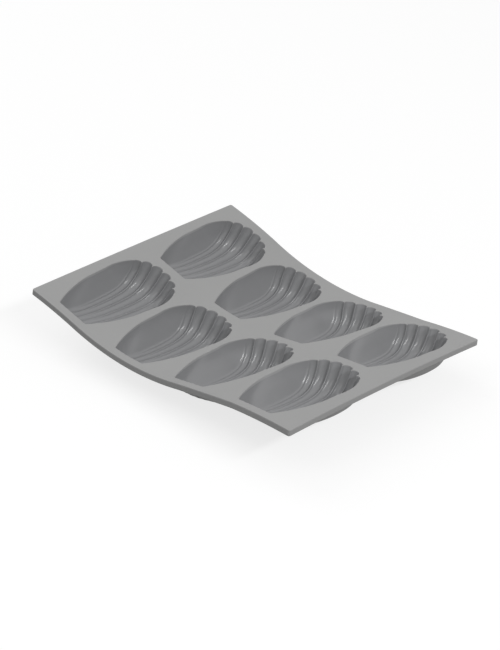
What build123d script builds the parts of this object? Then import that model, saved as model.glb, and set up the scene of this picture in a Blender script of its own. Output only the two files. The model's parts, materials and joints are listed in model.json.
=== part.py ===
from build123d import *
from math import atan2, cos, hypot, radians, sin
import os

# A flexible silicone baking mould with shell-shaped cavities, lying in a gentle S bend with one end raised.
# The real mould is one moulding. Its regions are made here as separate solids that meet face to face:
# a stiff band of sheet for each row of cavities, a narrow flexible web between rows, and a cup per cavity.
# +X runs along the long side from the raised end, +Y across from the narrow cavity ends, +Z up.
# The origin is on the table, under the middle of the mould's box. All lengths are in millimetres.

# Sheet
sheet_length = 210.0
sheet_width = 176.0
sheet_thickness = 3.9
corner_radius = 3.0
web_width = 2.4

# Layout of the cavities, measured along the sheet's top
row_count = 4
column_count = 2
row_pitch = 49.8
column_pitch = 84.8
front_margin = 5.6

# Bend of the sheet: its slope, twist and crown at equally spaced stations along the length
slope_degrees = (-12.0, -18.9, -5.7, 7.3, 6.2, -0.4)
twist_degrees = (0.1, -0.7, -2.4, -4.2, -5.2, -4.5)
crown_at_raised_end = 0.4
crown_at_far_end = 1.5
pivot_share = 0.33
roll_degrees = 3.0

# One cavity, seen from above: length and width of its mouth, and depth down to the ridge at its centre
cavity_length = 78.6
cavity_width = 45.5
ridge_depth = 17.3
cup_wall = 1.8
side_wall_lean_degrees = 30.0
foot_flat = 0.5

# The cavity is a fan of cross-sections turned about a line across the mouth, a little above it
fan_height = 4.0
fan_bore = 1.5
fan_hinge_share = 0.573

# Each station of the fan, from the narrow end to the scalloped end.
# The first and last stations lie level with the hinge line, so they have no depth share.
reach_shares = (-0.025, 0.0, 0.055, 0.205, 0.376, 0.573, 0.745, 0.82, 0.873, 0.923, 0.96, 0.988)
depth_shares = (0.0, 0.47, 0.78, 0.925, 1.0, 1.0, 0.93, 0.77, 0.45, 0.1)
spread_shares = (0.52, 0.505, 0.5, 0.515, 0.57, 0.625, 0.69, 0.735, 0.77, 0.8, 0.815, 0.83)
shoulder_shares = (1.0, 0.995, 0.965, 0.97, 0.965, 0.95, 0.9, 0.86, 0.83, 0.81, 0.77, 0.72)
flute_shares = (0.015, 0.03, 0.07, 0.13, 0.19, 0.23, 0.27, 0.3, 0.33, 0.35, 0.36, 0.36)
bulge_shares = (0.07, 0.065, 0.06, 0.055, 0.05, 0.05, 0.05, 0.055, 0.06, 0.07, 0.08, 0.08)
mouth_share = 0.503
outer_flute_share = 0.55
ridges_at_narrow_end_shares = (0.0, 0.333, 0.667, 1.0)
ridges_at_wide_end_shares = (0.0, 0.425, 0.78, 1.0)

# How far cutting solids overrun, and how many cross-sections carry a band and a web
overrun = 30.0
sections_per_band = 5
sections_per_web = 2
half_share = 0.5

fan_stations = len(reach_shares)
station_gap = sheet_length / (len(slope_degrees) - 1)
first_row = (sheet_length - row_pitch * (row_count - 1)) / 2
first_column = -sheet_width / 2 + front_margin


# Value of a table of equally spaced stations at a distance along the sheet
def along_table(table, distance):
    place = min(max(distance / station_gap, 0), len(table) - 1)
    index = min(int(place), len(table) - 2)
    return table[index] + (table[index + 1] - table[index]) * (place - index)


# Point of the sheet's centre line, where every span between two stations is a circular arc
def centre_line(distance):
    x = 0
    z = 0
    for index in range(len(slope_degrees) - 1):
        start = index * station_gap
        run = min(max(distance - start, 0), station_gap)
        first = radians(slope_degrees[index])
        last = radians(along_table(slope_degrees, start + run))
        turn = last - first
        if run > 0 and turn != 0:
            x += run * (sin(last) - sin(first)) / turn
            z += run * (cos(first) - cos(last)) / turn
    return x, z


# Height of the sheet's crown over its long edges
def crown(distance):
    return crown_at_raised_end + (crown_at_far_end - crown_at_raised_end) * distance / sheet_length


# The whole bent sheet is rolled about X before it is set down
rolled = Location((0, 0, 0), (roll_degrees, 0, 0))


# Directions along, across and out of the sheet at a distance along it
def sheet_directions(distance):
    slope = radians(along_table(slope_degrees, distance))
    twist = radians(along_table(twist_degrees, distance))
    along = Vector(cos(slope), 0, sin(slope))
    upright = Vector(-sin(slope), 0, cos(slope))
    level = Vector(0, 1, 0)
    across = level * cos(twist) + upright * sin(twist)
    outward = upright * cos(twist) - level * sin(twist)
    return along, across, outward


# Point at a distance along the sheet and a distance across it, sunk below its top
def sheet_point(distance, sideways, sunk):
    x, z = centre_line(distance)
    _, across, outward = sheet_directions(distance)
    rise = crown(distance) * (1 - (2 * sideways / sheet_width) ** 2) - sunk
    return Vector(x, 0, z) + across * sideways + outward * rise


# Plane of a cross-section of the sheet: its X runs across and its Y is the sheet's outward side
def section_plane(distance):
    x, z = centre_line(distance)
    along, across, _ = sheet_directions(distance)
    return Plane(rolled * Plane(origin=(x, 0, z), x_dir=across, z_dir=along).location)


# Place of a cavity: the middle of its narrow end, on the sheet's top
def cavity_place(row, column):
    distance = first_row + row * row_pitch
    sideways = first_column + column * column_pitch
    along, _, _ = sheet_directions(distance)
    start = sheet_point(distance, sideways, 0)
    end = sheet_point(distance, sideways + cavity_length, 0)
    reach = (end - start).normalized()
    return rolled * Plane(origin=start, x_dir=along, z_dir=along.cross(reach)).location


# Plane of one section of the fan, its Y pointing away from the hinge line, and the centre ridge's radius
def fan_station(index):
    hinge = cavity_length * fan_hinge_share
    sunk = -fan_height
    if 0 < index < fan_stations - 1:
        sunk = ridge_depth * depth_shares[index - 1]
    back = hinge - cavity_length * reach_shares[index]
    down = sunk + fan_height
    angle = atan2(down, back)
    plane = Plane(origin=(0, hinge, fan_height), x_dir=(1, 0, 0), z_dir=(0, sin(angle), -cos(angle)))
    return plane, hypot(back, down)


# Ridge points of one section on one side, from the centre to the shoulder, grown outwards by a skin
def ridge_points(index, radius, skin):
    blend = index / (fan_stations - 1)
    spread = cavity_width / 2 * spread_shares[index]
    shoulder = radius * shoulder_shares[index]
    points = []
    for narrow, wide in zip(ridges_at_narrow_end_shares, ridges_at_wide_end_shares):
        share = narrow + (wide - narrow) * blend
        points.append((share * (spread + skin), radius + skin + (shoulder - radius) * share**2))
    return points


# Point that stands off the middle of a chord, on its far side from the hinge line
def bulge_point(start, end, share):
    middle_x = (start[0] + end[0]) / 2
    middle_y = (start[1] + end[1]) / 2
    return middle_x + (end[1] - start[1]) * share, middle_y - (end[0] - start[0]) * share


# A solid of the fan: the cavity's own space, or with a skin the outside of its cup
def fan_solid(skin):
    with BuildPart() as solid:
        for index in range(fan_stations):
            plane, radius = fan_station(index)
            side = ridge_points(index, radius, skin)
            mouth = (cavity_width * mouth_share + skin / cos(radians(side_wall_lean_degrees)), fan_bore)
            outline = [mouth] + side[::-1] + [(-x, y) for x, y in side[1:]] + [(-mouth[0], mouth[1])]
            last = len(outline) - 2
            with BuildSketch(plane):
                with BuildLine():
                    for leg, (start, end) in enumerate(zip(outline, outline[1:])):
                        share = flute_shares[index]
                        if leg in (0, last):
                            share = bulge_shares[index]
                        elif leg in (1, last - 1):
                            share = share * outer_flute_share
                        if share > 0:
                            ThreePointArc(start, bulge_point(start, end, share), end)
                        else:
                            Line(start, end)
                    Line(outline[-1], outline[0])
                make_face()
        loft()
    return solid.part


# A stretch of the sheet, lofted through cross-sections
def sheet_stretch(start, end, sections):
    with BuildPart() as stretch:
        for index in range(sections):
            distance = start + (end - start) * index / (sections - 1)
            rise = crown(distance)
            edge = sheet_width / 2
            under = -sheet_thickness
            with BuildSketch(section_plane(distance)):
                with BuildLine():
                    ThreePointArc((-edge, under), (0, rise + under), (edge, under))
                    Line((edge, under), (edge, 0))
                    ThreePointArc((edge, 0), (0, rise), (-edge, 0))
                    Line((-edge, 0), (-edge, under))
                make_face()
        loft()
    return stretch.part


# Distance along the sheet at which a row's band starts: the sheet's own end, or the far side of a web
def band_start(row):
    if row == 0:
        return 0
    return first_row + row_pitch * (row - half_share) + web_width * half_share


# Distance along the sheet at which a row's band ends
def band_end(row):
    if row == row_count - 1:
        return sheet_length
    return first_row + row_pitch * (row + half_share) - web_width * half_share


# Bands without their mouths, and the webs between them
whole_bands = [sheet_stretch(band_start(row), band_end(row), sections_per_band) for row in range(row_count)]
webs = [sheet_stretch(band_end(row), band_start(row + 1), sections_per_web) for row in range(row_count - 1)]

# Space of a cavity and outside of a cup, at their own origin
cavity_void = fan_solid(0)
cup_outside = fan_solid(cup_wall)

# The lowest cups stand on the table, and their soft undersides are pressed flat there
places = [[cavity_place(row, column) for column in range(column_count)] for row in range(row_count)]
lowest = min(cup_outside.moved(place).bounding_box().min.Z for row in places for place in row)
table = lowest + foot_flat

# The origin comes under the middle of the mould's box
box = Compound(whole_bands).bounding_box()
settle = Location((-box.center().X, -box.center().Y, -table))


# Sheet of one row of cavities, with a scalloped mouth for each cavity
def make_band(row):
    with BuildPart() as band:
        add(whole_bands[row])
        if row in (0, row_count - 1):
            end_face = band.faces().sort_by(Axis.X)[0 if row == 0 else -1]
            sides = end_face.edges().sort_by(Axis.Y)
            fillet([sides[0], sides[-1]], radius=corner_radius)
        for place in places[row]:
            add(cavity_void.moved(place), mode=Mode.SUBTRACT)
    return band


# Cup under one cavity: its shell, cut off where it meets the sheet's underside
def make_cup(row, column):
    place = places[row][column]
    with BuildPart() as cup:
        add(cup_outside.moved(place))
        add(cavity_void.moved(place), mode=Mode.SUBTRACT)
        add(whole_bands[row], mode=Mode.SUBTRACT)
        for web in webs[max(row - 1, 0) : row + 1]:
            add(web, mode=Mode.SUBTRACT)
        with Locations(place):
            with Locations((0, cavity_length * half_share, -sheet_thickness * half_share)):
                Box(
                    cavity_width + overrun,
                    cavity_length + overrun,
                    overrun,
                    align=(Align.CENTER, Align.CENTER, Align.MIN),
                    mode=Mode.SUBTRACT,
                )
        with Locations((box.center().X, box.center().Y, table)):
            Box(
                sheet_length + overrun,
                sheet_width + overrun,
                overrun,
                align=(Align.CENTER, Align.CENTER, Align.MAX),
                mode=Mode.SUBTRACT,
            )
    return cup


# Sets a finished piece down and writes it under its name
def hand_over(part, name):
    settled = part.moved(settle)
    settled.label = name
    export_step(settled, f"parts/{name}.step")


os.makedirs("parts", exist_ok=True)
column_names = ("front", "back")
for row in range(row_count):
    hand_over(make_band(row).part, f"sheet_row_{row + 1}")
    for column in range(column_count):
        hand_over(make_cup(row, column).part, f"cup_{row + 1}_{column_names[column]}")
for row, web in enumerate(webs):
    hand_over(web, f"flex_web_{row + 1}_{row + 2}")

# Where the sheet bends: each web's line, half way through the sheet, and the level of each cup
for row in range(row_count - 1):
    distance = (band_end(row) + band_start(row + 1)) * half_share
    _, across, _ = sheet_directions(distance)
    sunk = sheet_thickness * half_share + crown(distance) * pivot_share
    pivot = settle * (rolled * Location(sheet_point(distance, 0, sunk)))
    axis = (rolled * Location(across)).position
    print("web", row + 1, "at", pivot.position, "axis", axis)
for row in range(row_count):
    for column in range(column_count):
        low = (cup_outside.moved(places[row][column])).bounding_box().min.Z - table
        print("cup", row + 1, column_names[column], "underside at", round(low, 2))
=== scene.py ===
import json
from math import atan2, cos, hypot, pi, radians, sin

import bmesh
import bpy
import numpy as np
from mathutils import Matrix, Vector, geometry


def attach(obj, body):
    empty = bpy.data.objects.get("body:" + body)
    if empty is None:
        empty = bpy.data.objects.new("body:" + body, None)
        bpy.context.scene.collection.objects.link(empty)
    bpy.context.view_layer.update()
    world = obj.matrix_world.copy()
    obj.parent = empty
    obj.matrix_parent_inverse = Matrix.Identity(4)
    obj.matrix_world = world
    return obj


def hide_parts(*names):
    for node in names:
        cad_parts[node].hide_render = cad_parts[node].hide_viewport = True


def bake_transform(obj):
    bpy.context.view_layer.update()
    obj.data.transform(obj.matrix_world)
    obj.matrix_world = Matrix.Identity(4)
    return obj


# A flexible grey silicone mould with shell-shaped cavities, lying in a gentle S bend.
# The skin of each row of cavities is made flat, and then bent along the sheet's centre line and set down.
# Flat places are (distance along the sheet, distance across it from its middle, height over its top).
# Lengths are in metres.

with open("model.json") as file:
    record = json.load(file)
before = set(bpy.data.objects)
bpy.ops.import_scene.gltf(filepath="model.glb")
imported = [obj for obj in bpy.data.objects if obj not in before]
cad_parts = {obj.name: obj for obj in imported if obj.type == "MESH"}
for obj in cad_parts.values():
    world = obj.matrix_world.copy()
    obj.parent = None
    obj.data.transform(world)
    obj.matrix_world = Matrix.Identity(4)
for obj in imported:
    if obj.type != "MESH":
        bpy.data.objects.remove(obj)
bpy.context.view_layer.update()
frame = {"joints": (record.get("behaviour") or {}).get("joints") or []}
mm = 0.001

# Sheet
sheet_length = 210 * mm
sheet_width = 176 * mm
sheet_thickness = 3.9 * mm
corner_radius = 1.5 * mm
web_width = 2.4 * mm
arris_rounding = 0.5 * mm
lip_rounding = 0.35 * mm

# Layout of the cavities, measured along the sheet's top
row_count = 4
column_count = 2
row_pitch = 49.8 * mm
column_pitch = 84.8 * mm
front_margin = 5.6 * mm
first_row = (sheet_length - row_pitch * (row_count - 1)) / 2
first_column = -sheet_width / 2 + front_margin

# Bend of the sheet: its slope and twist at equally spaced stations along the length, and its crown.
# Under the stiff depth, a cup keeps the slope of its row's middle.
slope_degrees = (-12.0, -18.9, -5.7, 7.3, 6.2, -0.4)
twist_degrees = (0.1, -0.7, -2.4, -4.2, -5.2, -4.5)
station_gap = sheet_length / (len(slope_degrees) - 1)
crown_at_raised_end = 0.4 * mm
crown_at_far_end = 1.5 * mm
stiff_depth = 12.0 * mm

# How the bent sheet is set down: its roll, and how much of the crown its first bend's line lies lower
roll_degrees = 3.0
pivot_share = 0.33

# One cavity: length and width of its mouth, depth down to the ridge at its centre, and the wall of its cup
cavity_length = 78.6 * mm
cavity_width = 45.5 * mm
ridge_depth = 17.3 * mm
cup_wall = 1.8 * mm
cup_side_wall = 0.3 * mm

# The cavity is a fan of cross-sections turned about a line across the mouth, a little above it
fan_height = 4.0 * mm
fan_bore = 1.5 * mm
fan_hinge_share = 0.573

# Each station of the fan, from the narrow end to the scalloped end.
# The first and last stations lie level with the hinge line, so they have no depth share.
reach_shares = (-0.025, 0.0, 0.055, 0.205, 0.376, 0.573, 0.745, 0.82, 0.873, 0.923, 0.96, 0.988)
depth_shares = (0.0, 0.47, 0.78, 0.925, 1.0, 1.0, 0.93, 0.77, 0.45, 0.1)
spread_shares = (0.52, 0.505, 0.5, 0.515, 0.57, 0.625, 0.69, 0.735, 0.77, 0.8, 0.815, 0.83)
shoulder_shares = (1.0, 0.995, 0.965, 0.97, 0.965, 0.95, 0.9, 0.86, 0.83, 0.81, 0.77, 0.72)
flute_shares = (0.01, 0.03, 0.07, 0.1, 0.13, 0.15, 0.18, 0.22, 0.28, 0.33, 0.36, 0.36)
outer_flute_shares = (0.01, 0.04, 0.1, 0.16, 0.2, 0.22, 0.23, 0.24, 0.23, 0.21, 0.19, 0.18)
side_wall_shares = (0.07, 0.065, 0.06, 0.055, 0.05, 0.05, 0.05, 0.055, 0.06, 0.07, 0.08, 0.08)
rib_shares = (0.0, 0.1, 0.3, 0.5, 0.7, 0.8, 0.8, 0.8, 0.7, 0.6, 0.5, 0.4)
mouth_share = 0.503
ridges_at_narrow_end_shares = (0.0, 0.333, 0.667, 1.0)
ridges_at_wide_end_shares = (0.0, 0.425, 0.78, 1.0)
fan_stations = len(reach_shares)

# Rounding of the ridges, which fades out at the mouth's sides, and the narrow raised rib along each ridge
ridge_rounding = 0.2 * mm
rounding_fade = 4
rib_height = 0.8 * mm
rib_width = 0.4 * mm
outer_rib_share = 0.4

# How finely a cavity's skin is made
bisections = 40
side_knots = 25
flute_steps = 14
length_steps = 118
rim_samples = 4 * length_steps
wall_steps = 18
samples_per_leg = 240
end_crowding_share = 0.9
lip_shares = (0.0, 0.07, 0.25, 0.55, 1.0)
lip_support = 0.25 * mm
lip_steadiness = 1.5 * mm
# Depth into a cavity over which its skin turns polished and takes its painted shade
polish_and_shade_depth = 0.8 * mm

# How finely the sheet is made
weld = 0.002 * mm
quad_corners = 4
edge_step = 1.6 * mm
fill_step = 2.4 * mm
fill_clearance = 1.4 * mm
border_strip = 0.15 * mm
edge_support = 0.35 * mm
arris_steps = 4
corner_steps = 8
web_steps = 12
centre_line_step = 1.0 * mm
triangle_tolerance = 1e-7

# Silicone. Colours are linear.
silicone_grey = (0.328, 0.328, 0.326, 1)
silicone_shade = (0.308, 0.308, 0.307, 1)
# The cavities' grey is darker and a little bluer than the top: painted shade and reflection in the hollows
polished_and_shaded_grey = (0.255, 0.257, 0.263, 1)
matte_roughness = 0.62
polished_roughness = 0.21
silicone_ior = 1.43
cloud_size = 35 * mm
cloud_detail = 3.0
grain_size = 0.45 * mm
grain_height = 0.012 * mm
dust_size = 1.6 * mm
dust_height = 0.02 * mm
grain_detail = 2.0
polished_away = 0.6

# Studio: a pale floor and world, and softboxes by place, width, depth and power, all turned to one point
white = (1, 1, 1, 1)
floor_half = 5.0
floor_grey = (0.25, 0.25, 0.25, 1)
floor_glow = 0.77
world_light = 0.41
lit_point = (0, 0, 0.02)
softboxes = {
    "key_softbox": ((1.85, -0.2, 1.6), 1.8, 0.22, 29.0),
    "back_softbox": ((-1.9, 0.3, 1.6), 1.4, 1.4, 14.0),
    "front_softbox": ((-0.7, -1.4, 2.0), 1.4, 1.4, 9.0),
}

# Camera: focal length and sensor in millimetres, nearest distance, place and turn
camera_lens = 88.574
camera_sensor = 36
camera_nearest = 0.01
camera_place = (0.55666405, -0.66324539, 0.46377761)
camera_turn_degrees = (62.93288, -4.18096, 42.33741)


# Weights of the knots' values at given places, for a natural cubic spline through them
def spline_weights(knots, places):
    knots = np.asarray(knots, float)
    count = len(knots)
    gaps = np.diff(knots)
    bends = np.zeros((count, count))
    slopes = np.zeros((count, count))
    bends[0, 0] = bends[-1, -1] = 1
    for i in range(1, count - 1):
        bends[i, i - 1 : i + 2] = gaps[i - 1], 2 * (gaps[i - 1] + gaps[i]), gaps[i]
        slopes[i, i - 1 : i + 2] = 6 / gaps[i - 1], -6 / gaps[i - 1] - 6 / gaps[i], 6 / gaps[i]
    second = np.linalg.solve(bends, slopes)
    places = np.asarray(places, float)
    index = np.clip(np.searchsorted(knots, places) - 1, 0, count - 2)
    gap = gaps[index]
    after = (places - knots[index]) / gap
    before = 1 - after
    unit = np.eye(count)
    plain = before[..., None] * unit[index] + after[..., None] * unit[index + 1]
    from_before = (before**3 - before)[..., None] * second[index]
    from_after = (after**3 - after)[..., None] * second[index + 1]
    return plain + (from_before + from_after) * (gap**2 / 6)[..., None]


# Where a falling or rising function reaches zero, between low and high, for many curves at once
def crossing(function, low, high):
    low = np.array(low, float)
    high = np.array(high, float)
    rising = function(high) > function(low)
    for _ in range(bisections):
        middle = (low + high) / 2
        above = (function(middle) > 0) == rising
        high = np.where(above, middle, high)
        low = np.where(above, low, middle)
    return (low + high) / 2


# Shares from 0 to 1 crowded towards both ends
def crowded(shares):
    return (1 - np.cos(pi * shares)) / 2


# Share from 0 to 1 eased in and out
def eased(share):
    return share**2 * (3 - 2 * share)


# Distance travelled along a line at each of its points
def travel(points):
    return np.concatenate(([0], np.cumsum(np.linalg.norm(np.diff(points, axis=0), axis=1))))


# Angle of one section of the fan from the horizontal, and its centre ridge's distance from the hinge line
def fan_station(index):
    sunk = -fan_height
    if 0 < index < fan_stations - 1:
        sunk = ridge_depth * depth_shares[index - 1]
    back = cavity_length * (fan_hinge_share - reach_shares[index])
    down = sunk + fan_height
    return atan2(down, back), hypot(back, down)


# Corners of one section's outline, from one mouth edge over the seven ridges to the other, grown by a skin
def section_corners(index, skin, side_skin):
    _, radius = fan_station(index)
    towards_wide_end = index / (fan_stations - 1)
    spread = cavity_width / 2 * spread_shares[index]
    shoulder = radius * shoulder_shares[index]
    side = []
    for narrow, wide in zip(ridges_at_narrow_end_shares, ridges_at_wide_end_shares):
        share = narrow + (wide - narrow) * towards_wide_end
        side.append((share * (spread + skin), radius + skin + (shoulder - radius) * share**2))
    mouth = (cavity_width * mouth_share + side_skin, fan_bore)
    half = [mouth] + side[::-1]
    return [(-x, r) for x, r in half] + half[-2::-1]


# How far a leg of a section's outline bulges as a share of its chord: side wall, outer flute or inner flute
def leg_bulge(index, leg, legs):
    if leg in (0, legs - 1):
        return side_wall_shares[index]
    if leg in (1, legs - 2):
        return outer_flute_shares[index]
    return flute_shares[index]


# Points along a circular arc over a chord, bulging by a share of the chord
def arc_points(start, end, bulge, shares):
    start, end = np.array(start), np.array(end)
    chord = end - start
    side = np.array((-chord[1], chord[0]))
    half = (1 + 4 * bulge**2) / (8 * bulge)
    turn = np.arcsin(1 / (2 * half))
    angles = (2 * np.asarray(shares) - 1) * turn
    along = 0.5 + half * np.sin(angles)
    over = half * (np.cos(angles) - np.cos(turn))
    return start + along[:, None] * chord + over[:, None] * side


# Points of an outline moved inwards where a rib runs along each ridge, lower on the two outer ridges
def with_ribs(points, places, ridges, height):
    heights = np.full(len(ridges), height)
    heights[[0, -1]] *= outer_rib_share
    apart = (places[:, None] - np.array(ridges)[None, :]) / rib_width
    lift = np.exp(-(apart**2) / 2) @ heights
    along = np.gradient(points, axis=0)
    inward = np.stack((along[:, 1], -along[:, 0]), 1) / np.hypot(*along.T)[:, None]
    return points + inward * lift[:, None]


# Outline of one section at given shares of each of its legs, with its corners rounded and ribbed
def section_outline(index, skin, side_skin, side_shares, flute_knots):
    corners = section_corners(index, skin, side_skin)
    legs = len(corners) - 1
    dense, dense_at, wanted, wanted_at, ridges = [], [], [], [], []
    travelled = 0
    for leg, (start, end) in enumerate(zip(corners, corners[1:])):
        shares = flute_knots
        if leg == 0:
            shares = side_shares
        elif leg == legs - 1:
            shares = 1 - side_shares[::-1]
        if leg > 0:
            shares = shares[1:]
            ridges.append(travelled)
        bulge = leg_bulge(index, leg, legs)
        run = arc_points(start, end, bulge, np.linspace(0, 1, samples_per_leg))
        at = travelled + travel(run)
        dense.append(run[:-1])
        dense_at.append(at[:-1])
        wanted.append(arc_points(start, end, bulge, shares))
        wanted_at.append(travelled + shares * (at[-1] - travelled))
        travelled = at[-1]
    dense, dense_at = np.concatenate(dense), np.concatenate(dense_at)
    wanted, wanted_at = np.concatenate(wanted), np.concatenate(wanted_at)

    # Corners rounded by the weighted mean of the outline around each point, but not at its two ends
    reach = np.abs(wanted_at[:, None] - dense_at[None, :]) / ridge_rounding
    weights = np.exp(-(reach**2) / 2) * np.gradient(dense_at)
    rounded = weights @ dense / weights.sum(1)[:, None]
    from_ends = np.minimum(wanted_at, travelled - wanted_at) / (rounding_fade * ridge_rounding)
    smooth = wanted + np.clip(from_ends, 0, 1)[:, None] * (rounded - wanted)
    return with_ribs(smooth, wanted_at, ridges, rib_height * rib_shares[index])


# Skin of a cavity or of its cup's outside, as a grid of lines that run from its narrow end to its wide end
class FanSkin:
    def __init__(self, skin, side_skin, level):
        self.level = level
        self.side_shares = np.sin(pi / 2 * np.linspace(0, 1, side_knots))
        flute_knots = crowded(np.linspace(0, 1, flute_steps + 1))
        hinge = cavity_length * fan_hinge_share
        sections = []
        for index in range(fan_stations):
            angle, _ = fan_station(index)
            across, radius = section_outline(index, skin, side_skin, self.side_shares, flute_knots).T
            ahead, over = hinge - radius * cos(angle), fan_height - radius * sin(angle)
            sections.append(np.stack((across, ahead, over), 1))
        sections = np.array(sections)
        self.knots = travel(sections[:, sections.shape[1] // 2])
        self.floor = sections[:, side_knots - 1 : -(side_knots - 1)]
        self.wall = sections[:, :side_knots]

    # Points of the floor's lines, each at its own places along the cavity
    def floor_points(self, places):
        return np.einsum("lpk,klc->lpc", spline_weights(self.knots, places), self.floor)

    # Points of the side wall at places along the cavity and at shares from the mouth's side to the shoulder
    def wall_points(self, places, shares):
        along = spline_weights(self.knots, places)
        up = spline_weights(self.side_shares, shares)
        return np.einsum("...k,...s,ksc->...c", along, up, self.wall)

    # Places where the floor's lines reach a depth under the level, at the narrow or the wide end
    def floor_crossings(self, depth, wide):
        lines = self.floor.shape[1]
        turn = self.knots[fan_stations // 2]
        far = self.knots[-1] if wide else self.knots[0]
        return crossing(
            lambda places: self.floor_points(places[:, None])[:, 0, 2] - self.level + depth,
            np.full(lines, far),
            np.full(lines, turn),
        )

    # Rows of the floor: close to both ends they follow the lip, and between they crowd towards the ends
    def floor_rows(self):
        near = [self.floor_crossings(share * lip_rounding, False) for share in lip_shares]
        far = [self.floor_crossings(share * lip_rounding, True) for share in lip_shares]
        even = np.linspace(0, 1, length_steps + 1)
        shares = even + end_crowding_share * (crowded(even) - even)
        between = near[-1] + shares[1:-1, None] * (far[-1] - near[-1])
        places = np.concatenate((near, between, far[::-1])).T
        return places, self.floor_points(places)

    # Share of the way up the side wall at which it reaches the level
    def share_at_rim(self, places):
        return crossing(
            lambda shares: self.wall_points(places, shares)[..., 2] - self.level,
            np.zeros(np.shape(places)),
            np.ones(np.shape(places)),
        )

    # Lines of the side wall, from the mouth's side to the shoulder at each of the floor's rows
    def wall_lines(self, shoulder_places):
        first, last = shoulder_places[0], shoulder_places[-1]
        fine = first + crowded(np.linspace(0, 1, rim_samples)) * (last - first)
        rim_at = travel(self.wall_points(fine, self.share_at_rim(fine)))
        shoulder = self.wall_points(shoulder_places, np.ones(len(shoulder_places)))
        shoulder_at = travel(shoulder)
        rim_places = np.interp(shoulder_at / shoulder_at[-1], rim_at / rim_at[-1], fine)
        rim_shares = self.share_at_rim(rim_places)

        def on_line(share):
            places = rim_places + share * (shoulder_places - rim_places)
            return self.wall_points(places, rim_shares + share * (1 - rim_shares))

        lines = []
        deepest = self.level - shoulder[:, 2]
        for share in lip_shares:
            depth = np.minimum(share * lip_rounding, deepest)
            reached = crossing(
                lambda shares: on_line(shares)[:, 2] - self.level + depth,
                np.zeros(len(shoulder_places)),
                np.ones(len(shoulder_places)),
            )
            lines.append(reached)
        start = lines[-1]
        for step in range(1, wall_steps):
            lines.append(start + sin(pi / 2 * step / wall_steps) * (1 - start))
        return np.array([on_line(share) for share in lines])


# Distance along the sheet to the middle of a row of cavities
def row_place(row):
    return first_row + row_pitch * row


# Distance along the sheet at which a row's band starts: the sheet's own end, or the far side of a web
def band_start(row):
    if row == 0:
        return 0
    return first_row + row_pitch * (row - 1 / 2) + web_width / 2


# Distance along the sheet at which a row's band ends
def band_end(row):
    if row == row_count - 1:
        return sheet_length
    return first_row + row_pitch * (row + 1 / 2) - web_width / 2


# Value of a table of equally spaced stations at a distance along the sheet
def along_table(table, distance):
    place = min(max(distance / station_gap, 0), len(table) - 1)
    index = min(int(place), len(table) - 2)
    return table[index] + (table[index + 1] - table[index]) * (place - index)


# Point of the sheet's centre line, where every span between two stations is a circular arc
def centre_line(distance):
    x = 0
    z = 0
    for index in range(len(slope_degrees) - 1):
        start = index * station_gap
        run = min(max(distance - start, 0), station_gap)
        first = radians(slope_degrees[index])
        last = radians(along_table(slope_degrees, start + run))
        turn = last - first
        if run > 0 and turn != 0:
            x += run * (sin(last) - sin(first)) / turn
            z += run * (cos(first) - cos(last)) / turn
    return Vector((x, 0, z))


# Outward direction of the sheet's top at a distance along it
def outward(distance):
    slope = radians(along_table(slope_degrees, distance))
    twist = radians(along_table(twist_degrees, distance))
    return Vector((-sin(slope) * cos(twist), -sin(twist), cos(slope) * cos(twist)))


# Height of the sheet's crown over its long edges
def crown(distance):
    return crown_at_raised_end + (crown_at_far_end - crown_at_raised_end) * distance / sheet_length


# The bent sheet is rolled about X and set down where the frame's first bend lies
def set_down():
    roll = Matrix.Rotation(radians(roll_degrees), 4, "X")
    bend = (band_end(0) + band_start(1)) / 2
    sunk = sheet_thickness / 2 + crown(bend) * pivot_share
    pivot = centre_line(bend) + outward(bend) * (crown(bend) - sunk)
    place = next(joint["pos_m"] for joint in frame["joints"] if joint["name"] == "bend_1_2")
    return Matrix.Translation(Vector(place) - roll @ pivot) @ roll


# Mesh under construction: its corners by place and by polish and painted shade, and its faces by the numbers
# of their corners
class Skin:
    def __init__(self):
        self.places = []
        self.polish = []
        self.faces = []

    def add(self, points, polish=0):
        first = len(self.places)
        self.places.extend(tuple(point) for point in points)
        self.polish.extend(np.broadcast_to(polish, len(points)))
        return list(range(first, len(self.places)))

    # Quads between two lines of corners, which face up where the second lies on the left of the first
    def strip(self, one, other, faces_up=True):
        if not faces_up:
            one, other = other, one
        for i in range(len(one) - 1):
            self.faces.append((one[i], one[i + 1], other[i + 1], other[i]))

    # Mesh with its double corners welded, smooth all over but for the rims of its many-cornered caps
    def mesh(self, name):
        work = bmesh.new()
        layer = work.verts.layers.float.new("polish")
        corners = [work.verts.new(place) for place in self.places]
        for corner, polish in zip(corners, self.polish):
            corner[layer] = polish
        for face in self.faces:
            work.faces.new([corners[i] for i in face])
        bmesh.ops.remove_doubles(work, verts=work.verts, dist=weld)
        bmesh.ops.dissolve_degenerate(work, edges=work.edges, dist=weld)
        for face in work.faces:
            face.smooth = True
            if len(face.verts) > quad_corners:
                for edge in face.edges:
                    edge.smooth = False
        data = bpy.data.meshes.new(name)
        work.to_mesh(data)
        work.free()
        return data


# Outline of a grid, once round with its inside on the left, each corner once
def rim_of(grid):
    sides = (grid[:, 0], grid[-1, 1:], grid[-2::-1, -1], grid[0, -2:0:-1])
    loop = np.concatenate(sides)[:, :2]
    apart = np.linalg.norm(loop - np.roll(loop, 1, axis=0), axis=1) > weld
    return loop[apart]


# Outward directions at points near a rim, averaged over a short stretch of it
def away_from_rim(points, rim):
    step = np.roll(rim, -1, axis=0) - np.roll(rim, 1, axis=0)
    normals = np.stack((step[:, 1], -step[:, 0]), 1)
    distance = np.linalg.norm(points[:, None] - rim[None], axis=2) / lip_steadiness
    mean = np.exp(-(distance**2) / 2) @ normals
    return mean / np.linalg.norm(mean, axis=1)[:, None]


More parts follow.
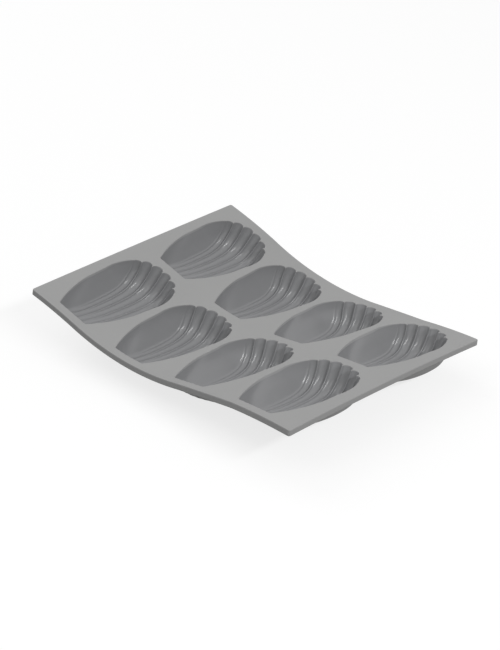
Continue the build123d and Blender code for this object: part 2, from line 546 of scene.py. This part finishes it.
# The grid of a cavity's skin, from its left side to its right, with its lip rounded outwards
def cavity_grid(skin, side_skin, level):
    fan = FanSkin(skin, side_skin, level)
    places, floor = fan.floor_rows()
    wall = fan.wall_lines(places[0])
    grid = np.concatenate((wall, floor, wall[::-1] * np.array((-1, 1, 1))))
    rim = rim_of(grid)
    flat = grid.reshape(-1, 3)
    depth = np.clip((level - flat[:, 2]) / lip_rounding, 0, 1)
    lip = np.where(depth < 1)[0]
    flare = lip_rounding * (1 - np.sqrt(1 - (1 - depth[lip]) ** 2))
    flat[lip, :2] += away_from_rim(flat[lip, :2], rim) * flare[:, None]
    return flat.reshape(grid.shape)


# Loop just outside a cavity's rim, where its lip meets the flat sheet
def collar_loop(grid):
    rim = rim_of(grid)
    return rim + away_from_rim(rim, rim) * lip_support


# Closed loop of points at one height, as corners of a skin
def add_loop(skin, loop, height):
    return skin.add([(x, y, height) for x, y in np.vstack((loop, loop[:1]))])


# Skin of one cavity, polished inside and marked there for a painted shade, and of its cup's outside under the
# sheet, at its own origin
def cavity_mesh(inside, outside):
    skin = Skin()
    for grid, level, faces_up in ((inside, 0, True), (outside, -sheet_thickness, False)):
        lines = []
        for line in grid:
            # Polish and painted shade grow with depth into the cavity, on its inside only
            polish = np.clip((level - line[:, 2]) / polish_and_shade_depth, 0, 1) * faces_up
            lines.append(skin.add(line, eased(polish)))
        rim = add_loop(skin, rim_of(grid), level)
        collar = add_loop(skin, collar_loop(grid), level)
        for one, other in [(collar, rim)] + list(zip(lines[1:], lines)):
            skin.strip(one, other, faces_up)
    return skin.mesh("cavity_skin")


# The sheet's rounded edge from its top to its underside: how far in and how high each line of it lies
def edge_profile():
    upper = [(arris_rounding + edge_support, 0)]
    for step in range(arris_steps + 1):
        angle = pi / 2 * step / arris_steps
        upper.append((arris_rounding * (1 - sin(angle)), arris_rounding * (cos(angle) - 1)))
    upper.append((0, -arris_rounding - edge_support))
    return upper + [(inset, -sheet_thickness - height) for inset, height in reversed(upper)]


profile = edge_profile()
flat_half = sheet_width / 2 - profile[0][0]
across_stops = np.linspace(-flat_half, flat_half, round(2 * flat_half / fill_step) + 1)


# Places across and over the sheet round its cross-section, anticlockwise as seen from its far end
def section_loop():
    half = sheet_width / 2
    back = [(half - inset, height) for inset, height in reversed(profile)]
    front = [(inset - half, height) for inset, height in profile]
    top = [(across, 0) for across in across_stops[-2:0:-1]]
    under = [(across, -sheet_thickness) for across in across_stops[1:-1]]
    return back + top + front + under


# Corners of the sheet's cross-section at a distance along it
def add_section(skin, place):
    return skin.add([(place, y, z) for y, z in section_loop()])


# Flat web between two rows' bands
def web_mesh(row):
    skin = Skin()
    stops = np.linspace(band_end(row), band_start(row + 1), web_steps + 1)
    loops = [add_section(skin, stop) for stop in stops]
    for one, other in zip(loops, loops[1:]):
        skin.strip(one + one[:1], other + other[:1])
    skin.faces.append(loops[0][::-1])
    skin.faces.append(loops[-1])
    return skin.mesh("web_skin")


# Distances from one end of a band's straight edge to the other, with a narrow step at each end
def edge_stops(start, end):
    stops = np.linspace(start, end, round((end - start) / edge_step) + 1)
    return [start, start + border_strip, *stops[1:-1], end - border_strip, end]


# Points round one end of the sheet with its two rounded corners, anticlockwise. It faces along or against X.
def sheet_end(place, facing):
    points = []
    middle = sheet_width / 2 - corner_radius
    for side in (-facing, facing):
        centre = Vector((place - facing * corner_radius, side * middle))
        for step in range(corner_steps + 1):
            turn = pi / 2 * step / corner_steps
            if side == -facing:
                way = Vector((facing * sin(turn), -facing * cos(turn)))
            else:
                way = Vector((facing * cos(turn), facing * sin(turn)))
            points.append((centre + way * corner_radius, way))
        if side == -facing:
            for across in across_stops[1:-1]:
                if abs(across) < middle - edge_step / 2:
                    points.append((Vector((place, across * facing)), Vector((facing, 0))))
    return points[1:-1]


# Points round the free edges of a row's band with their outward directions, in runs from web to web
def free_runs(row):
    first = corner_radius if row == 0 else band_start(row)
    last = sheet_length - corner_radius if row == row_count - 1 else band_end(row)
    stops = edge_stops(first, last)
    half = sheet_width / 2
    front = [(Vector((x, -half)), Vector((0, -1))) for x in stops]
    back = [(Vector((x, half)), Vector((0, 1))) for x in reversed(stops)]
    if row == 0:
        return [back + sheet_end(0, -1) + front]
    if row == row_count - 1:
        return [front + sheet_end(sheet_length, 1) + back]
    return [front, back]


# Whether points lie between an outline and its holes, by counting the edges crossed on the way out
def between_loops(points, loops):
    crossed = np.zeros(len(points), int)
    x, y = points[:, 0][:, None], points[:, 1][:, None]
    for loop in loops:
        (x1, y1), (x2, y2) = loop.T, np.roll(loop, -1, axis=0).T
        spans = (y1 > y) != (y2 > y)
        rise = np.where(y1 == y2, 1, y2 - y1)
        crossed += (spans & (x < x1 + (y - y1) * (x2 - x1) / rise)).sum(1)
    return crossed % 2 == 1


# Fills the flat sheet between an outline and its holes with triangles, over points about a step apart
def add_flat(skin, loops, height, faces_up):
    rims = np.concatenate(loops)
    low, high = rims.min(0) + fill_clearance, rims.max(0)
    columns = np.arange(low[0], high[0], fill_step)
    lines = np.arange(low[1], high[1], fill_step * sin(pi / 3))
    grid = np.array([(x + (i % 2) * fill_step / 2, y) for i, y in enumerate(lines) for x in columns])
    grid = grid[between_loops(grid, loops)]
    clear = np.linalg.norm(grid[:, None] - rims[None], axis=2).min(1) > fill_clearance
    points = np.concatenate((rims, grid[clear]))
    edges = []
    for loop in loops:
        first = len(edges)
        edges += [(first + i, first + (i + 1) % len(loop)) for i in range(len(loop))]
    places = [Vector(point) for point in points]
    found = geometry.delaunay_2d_cdt(places, edges, [], 0, triangle_tolerance)
    origins = [own[0] for own in found[3]]
    triangles = np.array([[origins[i] for i in face] for face in found[2]])
    triangles = triangles[between_loops(points[triangles].mean(1), loops)]
    corners = skin.add([(x, y, height) for x, y in points])
    for triangle in triangles:
        face = tuple(corners[i] for i in triangle)
        skin.faces.append(face if faces_up else face[::-1])


# Flat band of sheet for one row of cavities, open where the cavities and their cups go
def band_mesh(row, mouth, cup):
    skin = Skin()
    runs = free_runs(row)
    for run in runs:
        levels = []
        for inset, height in profile:
            levels.append(skin.add([(*(point - way * inset), height) for point, way in run]))
        for upper, lower in zip(levels, levels[1:]):
            skin.strip(lower, upper)
    for height, collar, faces_up in ((0, mouth, True), (-sheet_thickness, cup, False)):
        outline = []
        for run in runs:
            outline.append(np.array([point - way * profile[0][0] for point, way in run])[1:-1])
            border = run[-1][0].x
            turn = 1 if run[-1][1].y < 0 else -1
            inner = border - turn * border_strip
            far = skin.add([(border, across * turn, height) for across in across_stops])
            near = skin.add([(inner, across * turn, height) for across in across_stops])
            skin.strip(far, near, faces_up)
            outline.append(np.array([(inner, across * turn) for across in across_stops[1:-1]]))
        columns = [first_column + column_pitch * column for column in range(column_count)]
        holes = [collar + (row_place(row), column) for column in columns]
        add_flat(skin, [np.concatenate(outline)] + holes, height, faces_up)
    if row > 0:
        skin.faces.append(add_section(skin, band_start(row))[::-1])
    if row < row_count - 1:
        skin.faces.append(add_section(skin, band_end(row)))
    return skin.mesh("band_skin")


# Adds a node to a tree, with its settings, and links or writes its inputs by name or number
def add_node(tree, kind, inputs=(), **settings):
    node = tree.nodes.new(kind)
    for name, value in settings.items():
        setattr(node, name, value)
    for name, value in dict(inputs).items():
        for source in value if isinstance(value, list) else [value]:
            if isinstance(source, bpy.types.NodeSocket):
                tree.links.new(source, node.inputs[name])
            else:
                node.inputs[name].default_value = source
    return node.outputs


# Result of a sum on numbers
def number(tree, operation, *values):
    return add_node(tree, "ShaderNodeMath", enumerate(values), operation=operation)["Value"]


# Result of a sum on vectors
def vector(tree, operation, *values):
    return add_node(tree, "ShaderNodeVectorMath", enumerate(values), operation=operation)["Vector"]


# A vector made longer by a number
def scaled(tree, direction, length):
    inputs = {"Vector": direction, "Scale": length}
    return add_node(tree, "ShaderNodeVectorMath", inputs, operation="SCALE")["Vector"]


# A colour between two others
def mixed(tree, share, one, other):
    return add_node(tree, "ShaderNodeMix", {0: share, 6: one, 7: other}, data_type="RGBA")[2]


# Noise of a size and detail at places
def noise(tree, place, size, detail):
    return add_node(tree, "ShaderNodeTexNoise", {"Vector": place, "Scale": 1 / size, "Detail": detail})["Fac"]


# Empty node tree of a material or world
def empty_tree(owner):
    owner.use_nodes = True
    owner.node_tree.nodes.clear()
    return owner.node_tree


# 1 for what the camera, a reflection or a look through something sees, and 0 for the light on the object
def seen(tree):
    rays = add_node(tree, "ShaderNodeLightPath")
    indirectly = number(tree, "MAXIMUM", rays["Is Glossy Ray"], rays["Is Transmission Ray"])
    return number(tree, "MAXIMUM", rays["Is Camera Ray"], indirectly)


mould_inputs = {
    "Geometry": "NodeSocketGeometry",
    "Cavity": "NodeSocketObject",
    "Centre Line": "NodeSocketObject",
    "Row Place": "NodeSocketFloat",
    "First Column": "NodeSocketFloat",
    "Column Pitch": "NodeSocketFloat",
    "Columns": "NodeSocketInt",
    "Sheet Length": "NodeSocketFloat",
    "Sheet Width": "NodeSocketFloat",
    "Sheet Thickness": "NodeSocketFloat",
    "Crown At Raised End": "NodeSocketFloat",
    "Crown At Far End": "NodeSocketFloat",
    "Stiff Depth": "NodeSocketFloat",
    "Weld": "NodeSocketFloat",
    "Set Down": "NodeSocketVector",
    "Roll": "NodeSocketVector",
    "Silicone": "NodeSocketMaterial",
}


# Tree that puts a cavity at each column of a flat band, bends both along the centre line and sets them down
def make_mould_tree():
    tree = bpy.data.node_groups.new("bent_mould", "GeometryNodeTree")
    for name, kind in mould_inputs.items():
        tree.interface.new_socket(name, in_out="INPUT", socket_type=kind)
    tree.interface.new_socket("Geometry", in_out="OUTPUT", socket_type="NodeSocketGeometry")
    given = add_node(tree, "NodeGroupInput")

    # Cavities along the row, welded into the band
    first = add_node(tree, "ShaderNodeCombineXYZ", {"X": given["Row Place"], "Y": given["First Column"]})[0]
    pitch = add_node(tree, "ShaderNodeCombineXYZ", {"Y": given["Column Pitch"]})[0]
    spots = {"Count": given["Columns"], "Start Location": first, "Offset": pitch}
    line = add_node(tree, "GeometryNodeMeshLine", spots, mode="OFFSET")["Mesh"]
    cavity = add_node(tree, "GeometryNodeObjectInfo", {"Object": given["Cavity"]})["Geometry"]
    placed = add_node(tree, "GeometryNodeInstanceOnPoints", {"Points": line, "Instance": cavity})["Instances"]
    real = add_node(tree, "GeometryNodeRealizeInstances", {"Geometry": placed})["Geometry"]
    joined = add_node(tree, "GeometryNodeJoinGeometry", {"Geometry": [real, given["Geometry"]]})["Geometry"]
    doubles = {"Geometry": joined, "Distance": given["Weld"]}
    welded = add_node(tree, "GeometryNodeMergeByDistance", doubles)["Geometry"]

    # Flat place of each point, and how far its deep parts keep the slope of the row's middle
    place = add_node(tree, "GeometryNodeInputPosition")["Position"]
    flat = add_node(tree, "ShaderNodeSeparateXYZ", {"Vector": place})
    along, across, over = flat["X"], flat["Y"], flat["Z"]
    depth = {
        "Value": number(tree, "MULTIPLY", over, -1.0),
        "From Min": given["Sheet Thickness"],
        "From Max": given["Stiff Depth"],
    }
    stiff = add_node(tree, "ShaderNodeMapRange", depth, interpolation_type="SMOOTHSTEP")["Result"]
    shift = number(tree, "MULTIPLY", stiff, number(tree, "SUBTRACT", given["Row Place"], along))
    station = number(tree, "ADD", along, shift)

    # Crown over the long edges
    share = number(tree, "DIVIDE", along, given["Sheet Length"])
    more = number(tree, "SUBTRACT", given["Crown At Far End"], given["Crown At Raised End"])
    height = number(tree, "MULTIPLY_ADD", share, more, given["Crown At Raised End"])
    side = number(tree, "DIVIDE", number(tree, "MULTIPLY", across, 2.0), given["Sheet Width"])
    lower = number(tree, "MULTIPLY", side, side)
    rise = number(tree, "MULTIPLY", height, number(tree, "SUBTRACT", 1.0, lower))

    # Place on the bent centre line, whose normal points back across the sheet
    curve = add_node(tree, "GeometryNodeObjectInfo", {"Object": given["Centre Line"]})["Geometry"]
    sampled = {"Curves": curve, "Length": station}
    on_line = add_node(tree, "GeometryNodeSampleCurve", sampled, mode="LENGTH")
    outward_way = vector(tree, "CROSS_PRODUCT", on_line["Normal"], on_line["Tangent"])
    ahead = scaled(tree, on_line["Tangent"], number(tree, "MULTIPLY", shift, -1.0))
    aside = scaled(tree, on_line["Normal"], number(tree, "MULTIPLY", across, -1.0))
    upright = scaled(tree, outward_way, number(tree, "ADD", rise, over))
    start = vector(tree, "ADD", on_line["Position"], ahead)
    bent = vector(tree, "ADD", start, vector(tree, "ADD", aside, upright))
    shaped = add_node(tree, "GeometryNodeSetPosition", {"Geometry": welded, "Position": bent})["Geometry"]

    # Set down, with the cups' feet pressed flat on the table
    setting = {"Geometry": shaped, "Translation": given["Set Down"], "Rotation": given["Roll"]}
    down = add_node(tree, "GeometryNodeTransform", setting)["Geometry"]
    free = add_node(tree, "ShaderNodeSeparateXYZ", {"Vector": place})
    pressed = {"X": free["X"], "Y": free["Y"], "Z": number(tree, "MAXIMUM", free["Z"], 0.0)}
    stop = add_node(tree, "ShaderNodeCombineXYZ", pressed)[0]
    resting = add_node(tree, "GeometryNodeSetPosition", {"Geometry": down, "Position": stop})["Geometry"]
    whole = add_node(tree, "GeometryNodeRealizeInstances", {"Geometry": resting})["Geometry"]
    finished = add_node(tree, "GeometryNodeSetMaterial", {"Geometry": whole, "Material": given["Silicone"]})
    add_node(tree, "NodeGroupOutput", {"Geometry": finished["Geometry"]})
    return tree


# Curve along the sheet's centre line, tilted by its twist
def centre_line_object():
    curve = bpy.data.curves.new("centre_line", "CURVE")
    curve.dimensions = "3D"
    curve.twist_mode = "Z_UP"
    steps = round(sheet_length / centre_line_step)
    spline = curve.splines.new("POLY")
    spline.points.add(steps)
    for step, point in enumerate(spline.points):
        distance = sheet_length * step / steps
        point.co = (*centre_line(distance), 1)
        point.tilt = radians(along_table(twist_degrees, distance))
    return bpy.data.objects.new("centre_line", curve)


# Plain mesh that the tree makes of a flat skin
def bent_piece(name, skin, tree, sizes):
    holder = bpy.data.objects.new(name + "_flat", skin)
    bpy.context.scene.collection.objects.link(holder)
    modifier = holder.modifiers.new("bend", "NODES")
    modifier.node_group = tree
    for socket in tree.interface.items_tree:
        if socket.in_out == "INPUT" and socket.name in sizes:
            modifier[socket.identifier] = sizes[socket.name]
    view = bpy.context.evaluated_depsgraph_get()
    bent = holder.evaluated_get(view)
    data = bpy.data.meshes.new_from_object(bent, preserve_all_data_layers=True, depsgraph=view)
    data.name = name
    bpy.data.objects.remove(holder)
    piece = bpy.data.objects.new(name, data)
    bpy.context.scene.collection.objects.link(piece)
    return piece


# Matte silicone, smoother where the mould's polished plugs formed the cavities, and painted darker and a
# little bluer there as shade and reflection
def silicone_material():
    material = bpy.data.materials.new("grey_silicone")
    tree = empty_tree(material)
    place = add_node(tree, "ShaderNodeTexCoord")["Object"]
    polish = add_node(tree, "ShaderNodeAttribute", attribute_name="polish")["Fac"]
    grey = mixed(tree, noise(tree, place, cloud_size, cloud_detail), silicone_grey, silicone_shade)
    # Painted shade and reflection: the cavities get a darker, bluer grey
    colour = mixed(tree, polish, grey, polished_and_shaded_grey)
    smoother = polished_roughness - matte_roughness
    roughness = number(tree, "MULTIPLY_ADD", polish, smoother, matte_roughness)
    uneven = number(tree, "SUBTRACT", 1.0, number(tree, "MULTIPLY", polish, polished_away))
    grain = {"Height": noise(tree, place, grain_size, grain_detail), "Distance": grain_height}
    dust = {"Height": noise(tree, place, dust_size, grain_detail), "Distance": dust_height}
    dust["Normal"] = add_node(tree, "ShaderNodeBump", dict(grain, Strength=uneven))["Normal"]
    normal = add_node(tree, "ShaderNodeBump", dict(dust, Strength=uneven))["Normal"]
    finish = {"Base Color": colour, "Roughness": roughness, "IOR": silicone_ior, "Normal": normal}
    shader = add_node(tree, "ShaderNodeBsdfPrincipled", finish)["BSDF"]
    add_node(tree, "ShaderNodeOutputMaterial", {"Surface": shader})
    return material


# One cavity with its cup's outside, which the tree repeats, and the line that it bends along
mouth_skin = cavity_grid(0, 0, 0)
cup_skin = cavity_grid(cup_wall, cup_side_wall, -sheet_thickness)
cavity = bpy.data.objects.new("cavity", cavity_mesh(mouth_skin, cup_skin))
line = centre_line_object()
mould_tree = make_mould_tree()

# Sizes that every piece of the mould shares
settled = set_down()
mould_sizes = {
    "Cavity": cavity,
    "Centre Line": line,
    "First Column": first_column,
    "Column Pitch": column_pitch,
    "Sheet Length": sheet_length,
    "Sheet Width": sheet_width,
    "Sheet Thickness": sheet_thickness,
    "Crown At Raised End": crown_at_raised_end,
    "Crown At Far End": crown_at_far_end,
    "Stiff Depth": stiff_depth,
    "Weld": weld,
    "Set Down": settled.translation,
    "Roll": (radians(roll_degrees), 0, 0),
    "Silicone": silicone_material(),
}

# Rows of cavities, each with its band of sheet
for row in range(row_count):
    skin = band_mesh(row, collar_loop(mouth_skin), collar_loop(cup_skin))
    sizes = dict(mould_sizes, **{"Row Place": row_place(row), "Columns": column_count})
    piece = bent_piece(f"row_{row + 1}_skin", skin, mould_tree, sizes)
    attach(piece, f"row_{row + 1}")
    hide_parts(f"sheet_row_{row + 1}", f"cup_{row + 1}_front", f"cup_{row + 1}_back")

# Flexible webs between the rows, bent along the centre line like the rows
for row in range(row_count - 1):
    start, end = band_end(row), band_start(row + 1)
    sizes = dict(mould_sizes, **{"Row Place": (start + end) / 2, "Columns": 0})
    piece = bent_piece(f"web_{row + 1}_{row + 2}_skin", web_mesh(row), mould_tree, sizes)
    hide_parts(f"flex_web_{row + 1}_{row + 2}")
    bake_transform(piece)

for helper in (cavity, line):
    bpy.data.objects.remove(helper)

# Floor, which keeps the mould's shadow
bpy.ops.mesh.primitive_plane_add(size=2 * floor_half)
floor = bpy.context.object
floor.name = "floor"
paint = bpy.data.materials.new("pale_floor")
tree = empty_tree(paint)
matte = add_node(tree, "ShaderNodeBsdfDiffuse", {"Color": floor_grey})["BSDF"]
strength = number(tree, "MULTIPLY", seen(tree), floor_glow)
glow = add_node(tree, "ShaderNodeEmission", {"Color": white, "Strength": strength})[0]
both = add_node(tree, "ShaderNodeAddShader", {0: matte, 1: glow})[0]
add_node(tree, "ShaderNodeOutputMaterial", {"Surface": both})
floor.data.materials.append(paint)

# World: plain pale light all round, and white where the camera or a reflection sees it
world = bpy.data.worlds.new("studio")
bpy.context.scene.world = world
tree = empty_tree(world)
level = number(tree, "MULTIPLY_ADD", seen(tree), 1 - world_light, world_light)
back = add_node(tree, "ShaderNodeBackground", {"Color": white, "Strength": level})[0]
add_node(tree, "ShaderNodeOutputWorld", {"Surface": back})

# Softboxes
for name, (place, width, depth, power) in softboxes.items():
    light = bpy.data.lights.new(name, "AREA")
    light.shape = "RECTANGLE"
    light.size = width
    light.size_y = depth
    light.energy = power
    lamp = bpy.data.objects.new(name, light)
    lamp.location = place
    lamp.rotation_euler = (Vector(lit_point) - Vector(place)).to_track_quat("-Z", "Y").to_euler()
    bpy.context.scene.collection.objects.link(lamp)

# Camera
camera_data = bpy.data.cameras.new("camera")
camera_data.lens = camera_lens
camera_data.sensor_width = camera_sensor
camera_data.clip_start = camera_nearest
camera = bpy.data.objects.new("camera", camera_data)
camera.location = camera_place
camera.rotation_euler = [radians(angle) for angle in camera_turn_degrees]
bpy.context.scene.collection.objects.link(camera)
bpy.context.scene.camera = camera

bpy.context.scene.view_settings.view_transform = "Standard"
